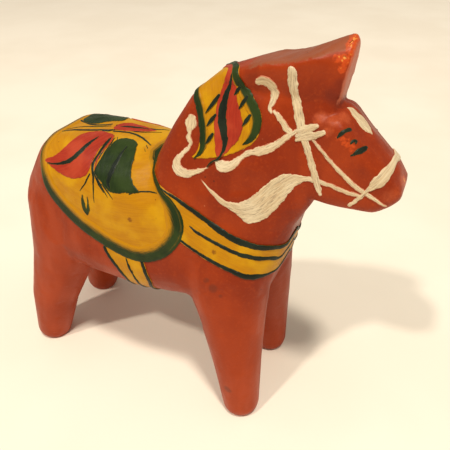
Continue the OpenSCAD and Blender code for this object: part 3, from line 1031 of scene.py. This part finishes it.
paint("saddle_border_paint", "saddle_border", "green_paint", border_field, ON_GROUND,
      cover=border_cover, bristle=0.012, rim=0.5)
inner_saddle = area(saddle_outline, seed=31, ragged=0.0)


def in_field(p):
    """The saddle inside its border."""
    f, edge, flow = inner_saddle(p)
    return f - 1.9, edge, flow


def on_side(outline, view, guide, seed):
    """A leaf on the saddle."""
    return within(area(smooth(outline), view, guide, 0.08, seed, dry=0.05), in_field)


red_right = on_side([
    [-30.6, 12.6], [-27.8, 11], [-26.2, 8.8], [-25.1, 6.2], [-24, 4.1], [-22.3, 2.8], [-19.2, 2.1],
    [-16.2, 2.6], [-16.3, 4.4], [-16.5, 7.4], [-16.7, 10.4], [-16.8, 12.9], [-18, 14.4], [-21.1, 15.3],
    [-24.4, 15], [-27.2, 14.2], [-29.2, 13.4],
], right_view, [[-31.4, 12.9], [-24, 11.4], [-20, 6], [-18, 2]], 35)
red_left = on_side([
    [-29.5, 2.9], [-25.4, 1], [-20, -0.3], [-19, 1.2], [-19.6, 2.4], [-21.5, 3.4], [-25, 3.7],
    [-28, 3.3],
], left_view, [[-30, 2.8], [-25, 2.2], [-19, 0.6]], 36)
red_lower = on_side([
    [-30.6, 12.4], [-27, 8.2], [-23.4, 6.4], [-19.4, 6.2], [-17.2, 9], [-17.6, 13], [-21, 15.4],
    [-26, 14.6],
], left_view, [[-30.4, 11.9], [-24, 10.4], [-19, 8]], 34)
green_right = on_side([
    [-14.3, 3.8], [-12, 2.4], [-8.9, 3.3], [-6.9, 6.9], [-6, 10.1], [-4.6, 12.8], [-2.8, 14.5],
    [-6, 15.4], [-9.9, 16], [-13.3, 14.2], [-15.3, 12.6], [-15.1, 10.2], [-14.6, 6.8],
], right_view, [[-13, 1.5], [-12, 8], [-10.4, 16]], 37)
green_left = on_side([
    [-19, 3.8], [-17.8, 2.5], [-15.1, 2.1], [-13.4, 0.9], [-10.4, 0.9], [-8, 2], [-7, 4.4], [-6.2, 9],
    [-4.8, 13], [-8, 15.4], [-12.6, 15], [-15.6, 11.4], [-17.6, 7],
], left_view, [[-13, 1.5], [-12, 8], [-10.4, 16]], 38)
red_leaf, green_leaf = union(red_right, red_left, red_lower), union(green_right, green_left)
paint("saddle_red_leaf_paint", "saddle_red_leaves", "crimson_paint", red_leaf, ON_GROUND)
paint("saddle_green_leaf_paint", "saddle_green_leaves", "green_paint", green_leaf, ON_GROUND)
RED_VEIN = [
    [-29.4, 13.2, 0.12], [-27, 13, 0.2], [-25, 12.5, 0.34], [-22.8, 11.5, 0.56], [-21.2, 9.6, 0.62],
    [-20.2, 7.4, 0.55], [-19.5, 5.6, 0.35], [-19, 4.2, 0.1],
]
RED_VEIN_LEFT = [[-27.5, 2.7, 0.1], [-24.5, 2.2, 0.3], [-22, 1.6, 0.3], [-20.5, 1, 0.1]]
RED_VEIN_LOWER = [[-28.6, 12, 0.15], [-24.6, 10.4, 0.5], [-21, 10, 0.5], [-19, 10.6, 0.1]]
GREEN_VEIN = [
    [-10.3, 5, 0.16], [-10.4, 7.6, 0.42], [-10.6, 11, 0.65], [-10.9, 13.9, 0.55], [-10.1, 15.2, 0.2],
]
VEINS = [
    (RED_VEIN, right_view), (RED_VEIN_LEFT, left_view), (GREEN_VEIN, right_view), (GREEN_VEIN, left_view),
    (RED_VEIN_LOWER, left_view),
]
veins = union(*[brushed(points, view, 0.06, 39 + i) for i, (points, view) in enumerate(VEINS)])
paint("saddle_vein_paint", "saddle_leaf_veins", "dark_paint", within(veins, in_field), ON_LEAF,
      thickness=0.12)
HAIRLINE = {"thickness": 0.09, "fine": 0.12, "rim": 0.12, "bristle": 0.0}
HAIRS = [[[-17.6, 1.2, 0.24], [-13.5, 0.5, 0.26], [-9.6, 1.2, 0.24], [-5.4, 3, 0.1]],
         [[-18, 0.5, 0.16], [-14.6, -0.2, 0.2], [-11.5, -0.6, 0.18], [-7, -2.1, 0.07]],
         [[-19, 1.3, 0.26], [-22, 2.1, 0.3], [-25.6, 2.9, 0.3], [-28.6, 3.6, 0.28], [-31.6, 4.9, 0.1]],
         [[-16.2, 2.8, 0.3], [-15.9, 7.7, 0.38], [-16.3, 11.1, 0.34], [-15.1, 14.3, 0.26], [-14.6, 19, 0.07]],
         [[-16.4, 13.4, 0.22], [-17.3, 15.6, 0.18], [-18.7, 17.4, 0.06]],
         [[-15.9, 3.1, 0.12], [-15.3, 6.8, 0.17], [-15.4, 9.6, 0.1]],
         [[-15.2, 3.3, 0.1], [-14.7, 5.6, 0.16], [-14.8, 8, 0.08]],
         [[-14.8, 2.9, 0.07], [-13.9, 4.3, 0.1], [-14, 5.4, 0.06]],
         [[-15.4, 12.6, 0.12], [-13.8, 14.6, 0.2], [-11.9, 16.4, 0.07]],
         [[-14.6, 13.4, 0.1], [-12.8, 15.1, 0.18], [-10.6, 17.3, 0.06]],
         [[-12.6, 14.8, 0.1], [-10.8, 16, 0.16], [-9.2, 17.3, 0.05]],
         [[-5, 15.4, 0.12], [-2.9, 14.3, 0.16], [0, 13.6, 0.16], [2.6, 13.5, 0.1]],
         [[-6.6, 3.2, 0.07], [-4.8, 4.6, 0.1], [-3.4, 5, 0.06]],
         [[-6.1, 4.4, 0.05], [-4.6, 5.5, 0.08], [-3.4, 5.8, 0.05]]]
fine_lines = union(strokes(HAIRS, right_view, 0.03, 41), strokes(HAIRS, left_view, 0.03, 41))
fine_lines = without(without(within(fine_lines, in_field), red_leaf, 0.1), green_leaf, 0.1)
paint("saddle_line_paint", "saddle_fine_lines", "dark_paint", fine_lines, ON_GROUND, **HAIRLINE)
crimson_hairs = strokes([
    [[-16, 2.8, 0.2], [-15.2, 5, 0.25], [-15.4, 8, 0.1]],
    [[-15.7, 8.6, 0.1], [-15.6, 10.4, 0.2], [-15.2, 12.4, 0.08]],
], right_view, 0.03, 57)
paint("saddle_crimson_hair_paint", "saddle_red_leaves", "crimson_paint", crimson_hairs, ON_GROUND + 0.05,
      **HAIRLINE)
rosette = brushed([
    [-20, -2.9, 0.2], [-19.4, -2.4, 0.42], [-18.5, -1.4, 0.44], [-17.9, -0.9, 0.15],
], top_view, 0.1, 60)
paint("saddle_rosette_paint", "saddle_rosette", "dark_paint", rosette, ON_GROUND)
drop = strokes([
    [[-18, 61.3, 0.25], [-18, 59.4, 0.55], [-17.6, 57.6, 0.65], [-17.1, 56.6, 0.3]],
    [[-16.5, 61.2, 0.15], [-16.5, 59.6, 0.3], [-16.6, 58, 0.45], [-17, 56.7, 0.25]],
], seed=62)
paint("saddle_drop_paint", "saddle_drops", "green_paint", drop, ON_GROUND, thickness=0.1, rim=0.12,
      bristle=0.0)

# ---- breast strap and girth

strap_top = smooth([
    [2, 68], [6.5, 66.2], [10.2, 64.2], [13.8, 62], [17.6, 60], [21.1, 58.5], [24.4, 57.4],
    [27.6, 57.1], [30.1, 56.2], [37, 54.9],
], False)
strap_bottom = smooth([
    [37, 47.4], [28.6, 47.9], [26.8, 48], [24.2, 48.8], [20.9, 50.1], [17.2, 51.5], [13.6, 53.2],
    [7, 56.5],
], False)
strap_run = [[4, 63], [12, 59], [20, 55], [27, 52], [35, 50.5]]
strap = without(area(np.vstack([strap_top, strap_bottom]), strap_view, strap_run, seed=70), saddle, 0.15)
paint("breast_strap_paint", "breast_strap", "yellow_paint", strap, ON_COAT, bristle=0.02)
strap_lines = strokes([
    [[2.8, 67.3, 0.12], [6.5, 65.8, 0.35], [10.2, 63.8, 0.5], [13.8, 61.6, 0.55], [17.6, 59.5, 0.6],
     [21.1, 57.9, 0.68], [24.4, 56.9, 0.68], [27.6, 56.7, 0.6], [30.1, 55.9, 0.5], [37, 54.6, 0.4]],
    [[10.3, 60, 0.08], [12, 59, 0.28], [14.4, 57.8, 0.34], [18, 56.3, 0.4], [21.5, 55, 0.45],
     [24.7, 54, 0.55], [27.7, 53.5, 0.55], [29.4, 52.4, 0.4], [37, 51.2, 0.35]],
    [[8.6, 56.3, 0.3], [13.6, 53.8, 0.36], [17.2, 52.1, 0.42], [20.9, 50.7, 0.5], [24.2, 49.3, 0.58],
     [26.8, 48.6, 0.5], [28.6, 48.5, 0.4], [37, 48, 0.35]],
], strap_view, 0.05, 71)
strap_lines = without(strap_lines, saddle, 0.1)
paint("breast_strap_line_paint", "breast_strap_lines", "dark_paint", strap_lines, ON_GROUND, rim=0.3)
girth_outline = np.array([
    [-13, 49.2], [-12.2, 47], [-10.4, 44.7], [-8.6, 42], [-7.9, 38.5], [-7.9, 25], [-0.6, 25],
    [-0.6, 37.7], [0.2, 42], [-0.3, 44.8], [-1.3, 47.8], [-1.9, 50],
])
girth_run = [[-8, 51], [-5.5, 44], [-4.6, 36], [-4.6, 24]]
girth = without(area(girth_outline, guide=girth_run, seed=75), saddle, 0.15)
paint("girth_band_paint", "girth_band", "yellow_paint", girth, ON_COAT, bristle=0.02)
girth_strokes = strokes([
    [[-12.6, 48.6, 0.45], [-11.8, 47.1, 0.45], [-9.9, 44.7, 0.5], [-8.2, 42, 0.5], [-7.4, 38.5, 0.4],
     [-7.4, 25.5, 0.4]],
    [[-6.3, 47.4, 0.1], [-5.6, 45.4, 0.34], [-4.9, 43.4, 0.2], [-4.8, 44.4, 0.1]],
    [[-2.4, 49.4, 0.4], [-1.7, 47.3, 0.45], [-0.8, 44.4, 0.52], [-0.4, 41.6, 0.5], [-1.1, 37.7, 0.45],
     [-1.1, 25.5, 0.4]],
    [[-5.4, 44.6, 0.1], [-4.7, 42.4, 0.3], [-4.3, 39, 0.4], [-4.3, 25.5, 0.4]],
], seed=76)
paint("girth_line_paint", "girth_lines", "dark_paint", without(girth_strokes, saddle, 0.1), ON_GROUND)

# ---- the mane panel

panel = area(smooth([
    [6.6, 91], [8.3, 86.8], [9.5, 84], [10.3, 81], [10.7, 78.2], [10.3, 76], [9.6, 74.8], [13, 75.1],
    [16.6, 76.1], [19.6, 77.6], [22, 79.3], [23.2, 81.6], [23.2, 84.7], [21.4, 87.5], [18.9, 90],
    [17.7, 92.2], [16.4, 95], [11.5, 96],
]), mane_view, [[13, 96], [16, 86], [15, 74]], seed=80)
paint("mane_panel_paint", "mane_panel", "yellow_paint", panel, ON_COAT, bristle=0.02)
REAR_EDGE = 81  # the number of the border's rear stroke; the front one is the next
panel_border = strokes([
    [[7.7, 88.6, 0.7], [9.1, 86.6, 0.85], [10.4, 84, 0.95], [11.3, 81, 0.95], [11.7, 78, 0.85],
     [11.3, 76.1, 0.5], [10, 74.7, 0.1]],
    [[15.6, 94.2, 0.8], [16.7, 92.1, 0.9], [18, 89.8, 1.05], [20.2, 87.1, 1.2], [21.9, 84.6, 1.25],
     [22.2, 82.3, 1.1], [21.6, 80.4, 0.7], [20.2, 78.9, 0.15]],
], mane_view, seed=REAR_EDGE)


def mane_cover(f, edge, flow):
    """Fades away towards the middle of the panel."""
    inwards = np.where(flow[:, 2] == REAR_EDGE, 1, -1) * flow[:, 1]
    return 1.05 - 1.0 * step(inwards, 0.0, 1.05)


paint("mane_border_paint", "mane_panel_border", "green_paint", panel_border, ON_GROUND, cover=mane_cover,
      rim=0.3, bristle=0.015)
mane_leaf = area(smooth([
    [16.2, 93], [14.9, 91], [14, 87.6], [13.6, 84], [13.7, 80.7], [14.2, 78], [14.9, 75.8], [16.2, 76],
    [17.5, 77.6], [19.1, 79.8], [19.7, 82.4], [19, 84.6], [17.7, 87.4], [16.9, 90.6],
]), mane_view, [[16.4, 92.6], [15.4, 86], [15.8, 80], [15.6, 75.6]], 0.1, 83)
paint("mane_leaf_paint", "mane_leaves", "crimson_paint", mane_leaf, ON_GROUND)
mane_stroke = brushed([
    [16.5, 91.8, 0.1], [15.8, 89.1, 0.38], [15.3, 86.7, 0.66], [15.1, 83.9, 0.86], [15.7, 81.3, 0.82],
    [16.3, 79.1, 0.6], [16.2, 77.1, 0.34], [15.2, 75.3, 0.2], [14, 74.6, 0.2], [13.2, 73.5, 0.1],
], mane_view, seed=84)
paint("mane_leaf_stroke_paint", "mane_leaf_strokes", "dark_paint", mane_stroke, ON_LEAF, thickness=0.14)
MARKS = [
    [[13.9, 87.3], [11.5, 83.8]], [[13.7, 83.7], [12, 81.4]], [[13.5, 80], [12.2, 77.8]],
    [[18.1, 89.5], [17.1, 87.7]], [[19.8, 87.8], [18.4, 85.5]], [[20.9, 84.6], [19.6, 82.4]],
]
hatching = strokes([
    [[a, b, 0.3], [(a + c) / 2, (b + d) / 2, 0.38], [c, d, 0.08]] for (a, b), (c, d) in MARKS
], mane_view, 0.03, 85)
paint("mane_hatching_paint", "mane_hatching", "dark_paint", hatching, ON_LEAF, thickness=0.09, fine=0.11,
      rim=0.14, bristle=0.0)

# ---- cream scrolls and bridle

rear = brushed([
    [8.4, 82.3, 0.95], [8.4, 81.5, 1.35], [8.2, 80.1, 0.8], [8.2, 79.3, 0.42], [8.2, 78.5, 0.6],
    [8.7, 77.5, 0.5], [8.4, 76.5, 0.42], [7.2, 75.2, 0.55], [6.2, 73.5, 0.85], [6.7, 72, 1.15],
    [8.5, 71.4, 0.95], [10.9, 72.2, 0.55], [13.3, 73.3, 0.18],
], seed=90, ragged=0.12)
paint("rear_scroll_paint", "rear_scrolls", "cream_paint", rear, ON_COAT, bristle=0.05, cover=thin_cover)
front_scroll = strokes([
    [[14.9, 74.9, 0.4], [15.6, 74.4, 1.0], [16.6, 74.1, 1.2], [18.2, 74.5, 1.0], [19.7, 75.9, 0.65],
     [21.4, 77.4, 0.6], [24.1, 78.3, 0.95], [26, 79.3, 0.85], [27.5, 80.5, 0.7], [28.9, 81.8, 0.6],
     [30.2, 82.9, 0.45]],
    [[21.8, 91.2, 0.8], [23, 91.6, 1.0], [24.3, 90.9, 1.05], [25.1, 89.4, 0.9], [25, 87.9, 0.7],
     [24.6, 86.6, 0.5], [24.9, 85.7, 0.35]],
    [[25.6, 85.9, 0.4], [27.2, 84.6, 0.6], [28.3, 83.4, 0.65], [29.6, 82.4, 0.5]],
], ragged=0.1, seed=91)
paint("front_scroll_paint", "front_scrolls", "cream_paint", front_scroll, ON_COAT, bristle=0.05,
      cover=thin_cover)
plume_run = [[10.5, 70.4], [15, 67], [20, 65], [24.5, 66.2], [28.5, 70.5], [32, 73.6], [36, 74.4]]
plume = area(smooth([
    [11.5, 71], [13.4, 69.4], [15.8, 67.8], [18.2, 66.8], [20.9, 67.1], [23.5, 69], [25.9, 71.8],
    [27.9, 73.8], [29.9, 74.7], [32.5, 74.8], [35.3, 74.5], [35.3, 73.5], [33.2, 73.5], [31.3, 71.6],
    [29.5, 68.3], [27.1, 64.8], [25, 62.9], [22.8, 62.2], [21.1, 63.2], [18.8, 64.8], [16.5, 66.2],
    [13.6, 68.6],
]), guide=plume_run, seed=94, ragged=0.12)
paint("neck_plume_paint", "neck_plumes", "cream_paint", plume, ON_COAT, thickness=0.16, bristle=0.055,
      lanes=5.0)
crown = brushed([
    [28.4, 94, 0.85], [28.6, 92, 0.95], [29.1, 89.6, 0.85], [30.4, 86, 0.9], [31.4, 83.6, 0.9],
    [32.6, 81, 0.75], [34.1, 77.9, 0.7], [36, 73.2, 0.75], [36.8, 71.4, 0.35],
], seed=95, ragged=0.08)
paint("crown_strap_paint", "crown_straps", "cream_paint", crown, ON_COAT, thickness=0.24, bristle=0.04)
cross = union(
    brushed([[30.2, 83, 0.3], [31.8, 83.6, 0.75], [33.1, 84.1, 0.7], [34.4, 84.8, 0.42]], seed=96),
    brushed([[30.7, 81.5, 0.35], [32.7, 82.3, 0.75], [34.5, 83.1, 0.65], [35.9, 84, 0.42]], seed=97),
    brushed([[30.8, 82.2, 0.5], [32.2, 82.9, 0.7], [33.5, 83.4, 0.3]], seed=105))
paint("bridle_cross_paint", "bridle_crosses", "cream_paint", cross, ON_COAT, thickness=0.3, bristle=0.04)
cheek = brushed([
    [34, 82, 0.35], [36.4, 80.1, 0.4], [38.1, 78.6, 0.42], [41, 76.2, 0.5], [43, 74.6, 0.55],
    [44.9, 73.5, 0.5], [47.2, 72.3, 0.4], [49.1, 71.1, 0.25],
], seed=98, ragged=0.06)
paint("cheek_strap_paint", "cheek_straps", "cream_paint", cheek, ON_COAT, thickness=0.18, bristle=0.04,
      cover=thin_cover)
rein = brushed([
    [34.8, 74.2, 0.45], [36.6, 74, 0.5], [38.8, 73.7, 0.5], [41.4, 73, 0.5], [44.3, 72.6, 0.45],
], seed=99, ragged=0.08)
paint("rein_paint", "reins", "cream_paint", rein, ON_COAT, thickness=0.16, bristle=0.04, cover=thin_cover)
nose = brushed([
    [42.7, 70.2, 0.4], [44.3, 72.2, 0.42], [45.5, 74, 0.42], [46.4, 75.2, 0.85], [47.2, 76.2, 1.25],
    [47.9, 77.1, 1.15], [48.4, 77.9, 0.6], [48.8, 78.9, 0.4],
], seed=100, ragged=0.1)
paint("noseband_paint", "noseband", "cream_paint", nose, ON_COAT, thickness=0.27, bristle=0.05)
star = brushed([
    [38.5, -1.5, 0.2], [39.4, -1.3, 0.75], [41, -1, 1.15], [42.3, -0.7, 1.0], [43.3, -0.6, 0.2],
], top_view, 0.06, 101)
paint("forehead_star_paint", "forehead_star", "cream_paint", star, ON_COAT)
brow_line = brushed([[38.5, 6.3, 0.12], [39, 5.6, 0.32], [40, 4.5, 0.3]], brow_view, 0.06, 102)
pupil = brushed([
    [40.9, 6.7, 0.16], [41.1, 6.3, 0.26], [41.5, 6.1, 0.26], [41.6, 6.5, 0.14],
], brow_view, 0.04, 103)
lower_lid = brushed([
    [41.4, 8.5, 0.1], [42.1, 8, 0.3], [42.7, 7.4, 0.5], [43.1, 6.8, 0.52], [43.3, 6.4, 0.34],
], brow_view, 0.06, 104)
paint("eye_mark_paint", "eye_marks", "dark_paint", union(brow_line, pupil, lower_lid), ON_COAT, fine=0.11)

# ---- floor and light

FLOOR_REACH = 2  # metres each way
LAMP_COLOUR = (1, 0.95, 0.86)
ROOM_COLOUR, ROOM_LIGHT = (1, 0.95, 0.85, 1), 0.425


def add_floor():
    """A pale table, with painted shade making it a little greyer far off to the left, where less light falls.
    """
    mesh = bpy.data.meshes.new("floor")
    corners = [(x * FLOOR_REACH, y * FLOOR_REACH, 0) for x, y in ((-1, -1), (1, -1), (1, 1), (-1, 1))]
    mesh.from_pydata(corners, [], [(0, 1, 2, 3)])
    floor = bpy.data.objects.new("floor", mesh)
    bpy.context.scene.collection.objects.link(floor)
    g = Graph("pale_floor")
    cloud = g.noise(g.place, 0.012, 3.0)
    colour = g.mix(g.spread(cloud, 0.35, 0.65), srgb(239, 227, 208), srgb(244, 233, 215))
    place = g.parts(g.place)
    # painted shade: greyer far off to the left
    back = g.math("SUBTRACT", place["Y"], g.math("MULTIPLY", place["X"], 1.6))
    colour = g.tint(colour, back, 400, 1400, 0.5, (222, 210, 194))
    mesh.materials.append(g.finish(colour, 0.6, g.noise(g.place, 0.8, 3.0), 0.02))


def add_lamp(name, place, size, power):
    """A square lamp, turned to the middle of the horse."""
    lamp = bpy.data.objects.new(name, bpy.data.lights.new(name, "AREA"))
    lamp.data.energy = power
    lamp.data.size = size
    lamp.data.color = LAMP_COLOUR
    lamp.location = Vector(place) * MM
    lamp.rotation_euler = (Vector((0, 0, 50)) * MM - lamp.location).to_track_quat("-Z", "Y").to_euler()
    bpy.context.scene.collection.objects.link(lamp)


add_floor()
add_lamp("side_lamp", (-340, -1000, 1680), 0.1, 15.5)
add_lamp("top_lamp", (440, -500, 1880), 0.2, 25)
world = bpy.data.worlds.new("studio")
bpy.context.scene.world = world
world.use_nodes = True
background = world.node_tree.nodes["Background"]
background.inputs["Color"].default_value = ROOM_COLOUR
background.inputs["Strength"].default_value = ROOM_LIGHT
bpy.context.scene.view_settings.view_transform = "Standard"
